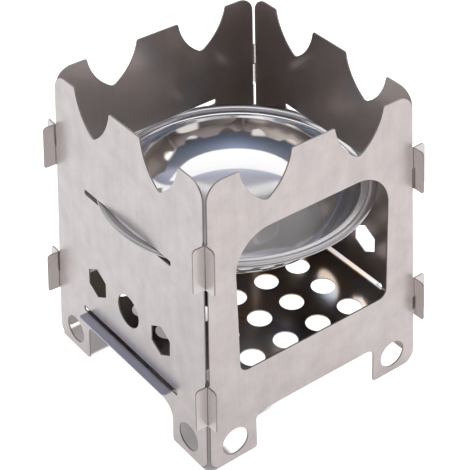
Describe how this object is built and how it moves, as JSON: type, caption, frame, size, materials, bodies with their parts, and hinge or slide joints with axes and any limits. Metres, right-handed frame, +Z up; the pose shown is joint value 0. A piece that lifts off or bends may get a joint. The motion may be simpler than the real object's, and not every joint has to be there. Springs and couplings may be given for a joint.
{
  "type": "multi-fuel camping stove",
  "caption": "Flat-pack camping stove of hooked, leaning sheet-steel walls with a scalloped crown, a perforated fire grate and a loose round fuel bowl.",
  "frame": {"origin": "on the ground in the middle of the stove, below its vertical axis", "axes": "+Z up; -Y towards the front wall with the fuel door; +X towards the right side wall"},
  "size_m": [0.1472, 0.1472, 0.1649],
  "materials": {
    "wall_steel": "brushed stainless sheet with fine vertical grain",
    "grate_steel": "smooth rolled stainless sheet",
    "bowl_steel": "polished stainless sheet"
  },
  "bodies": {
    "stove": {"back_panel": "wall_steel", "left_side_panel": "wall_steel", "right_side_panel": "wall_steel", "fire_grate": "grate_steel"},
    "front_wall": {"front_panel": "wall_steel"},
    "bowl": {"fuel_bowl": "bowl_steel"}
  },
  "joints": [
    {"name": "front_panel_lift", "type": "slide", "parent": "stove", "child": "front_wall", "axis": [0, 0.0429, 0.9991], "range_m": [0, 0.0125]},
    {"name": "bowl_turn", "type": "hinge", "parent": "stove", "child": "bowl", "pos_m": [0.0009, -0.0016, 0.1084], "axis": [0, 0, 1], "continuous": true}
  ]
}
